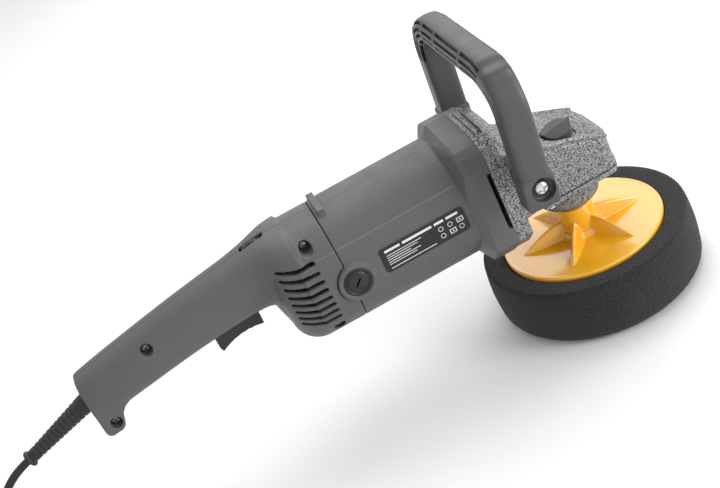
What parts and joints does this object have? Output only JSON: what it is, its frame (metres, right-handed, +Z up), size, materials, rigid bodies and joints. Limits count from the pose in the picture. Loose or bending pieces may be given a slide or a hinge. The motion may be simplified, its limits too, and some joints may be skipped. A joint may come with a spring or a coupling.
{
  "type": "rotary polisher",
  "caption": "Corded rotary polisher with a bevel gear head, loop front handle, rear switch handle and a foam pad on a ribbed backing plate.",
  "frame": {"origin": "where the spindle axis meets the foam pad's flat working face", "axes": "+Z up along the spindle from the pad towards the gear head, +X towards the nose of the gear head, the rear handle and the lead towards -X, +Y to the left of a user who looks towards +X"},
  "size_m": [0.639, 0.244, 0.2403],
  "materials": {
    "foam": "matt, open pores",
    "yellow_plastic": "gloss",
    "steel": "ground",
    "dark_steel": "oiled",
    "lamination": "stacked sheet",
    "copper": "varnished",
    "bronze": "turned",
    "carbon": "matt",
    "grey_plastic": "fine grain",
    "charcoal_plastic": "fine grain",
    "hammered_paint": "hammered",
    "dark_plastic": "satin",
    "black_plastic": "satin",
    "black_rubber": "satin",
    "label": "satin film",
    "screw": "zinc plated",
    "module_plastic": "satin",
    "capacitor": "satin",
    "plated_brass": "nickel plated"
  },
  "bodies": {
    "housing": {"motor_housing": "grey_plastic", "gear_housing": "hammered_paint", "bearing_cover": "hammered_paint", "cover_screws": "screw", "housing_screws": "screw", "spindle_bearing": "steel", "spindle_bush": "bronze", "front_bearing": "steel", "rear_bearing": "steel", "stator_core": "lamination", "field_coils": "copper", "fan_baffle": "black_plastic", "brush_holders": "bronze", "carbon_brushes": "carbon", "brush_caps": "black_plastic", "rating_label": "label", "handle_right": "grey_plastic", "handle_left": "grey_plastic", "handle_screws": "screw", "switch_body": "black_plastic", "speed_module": "module_plastic", "suppressor": "capacitor", "cord_clamp": "black_plastic", "clamp_screws": "screw", "inner_lead": "black_rubber", "loop_handle": "charcoal_plastic", "loop_bolts": "screw", "strain_relief": "black_rubber", "power_cord": "black_rubber", "cord_coil": "black_rubber", "plug_body": "black_rubber", "plug_pins": "plated_brass"},
    "spindle": {"foam_pad": "foam", "backing_plate": "yellow_plastic", "hub_insert": "steel", "spindle": "steel", "bevel_gear": "dark_steel", "gear_clip": "steel"},
    "armature": {"bevel_pinion": "dark_steel", "pinion_nut": "steel", "armature_shaft": "steel", "armature_core": "lamination", "armature_windings": "copper", "commutator": "copper", "cooling_fan": "black_plastic"},
    "trigger": {"trigger": "black_plastic"},
    "lock_on": {"lock_on_button": "black_plastic"},
    "dial": {"speed_dial": "black_plastic"},
    "spindle_lock": {"lock_button": "dark_plastic", "lock_pin": "steel"}
  },
  "joints": [
    {"name": "spindle_spin", "type": "hinge", "parent": "housing", "child": "spindle", "pos_m": [0, 0, 0], "axis": [0, 0, 1], "continuous": true},
    {"name": "armature_spin", "type": "hinge", "parent": "housing", "child": "armature", "pos_m": [0, 0, 0.13], "axis": [1, 0, 0], "continuous": true},
    {"name": "trigger_press", "type": "slide", "parent": "housing", "child": "trigger", "axis": [0, 0, 1], "range_m": [0, 0.006], "stiffness_N_per_m": 1500, "springref_m": -0.005},
    {"name": "lock_on_press", "type": "slide", "parent": "housing", "child": "lock_on", "axis": [0, -1, 0], "range_m": [0, 0.003], "stiffness_N_per_m": 800, "springref_m": -0.003},
    {"name": "spindle_lock_press", "type": "slide", "parent": "housing", "child": "spindle_lock", "axis": [0, 0, -1], "range_m": [0, 0.004], "stiffness_N_per_m": 1500, "springref_m": -0.004},
    {"name": "dial_turn", "type": "hinge", "parent": "housing", "child": "dial", "pos_m": [-0.225, 0, 0.1634], "axis": [0, 1, 0], "range_deg": [-140, 140]}
  ],
  "couplings": [
    {"joint": "armature_spin", "follows": "spindle_spin", "ratio": -4}
  ]
}
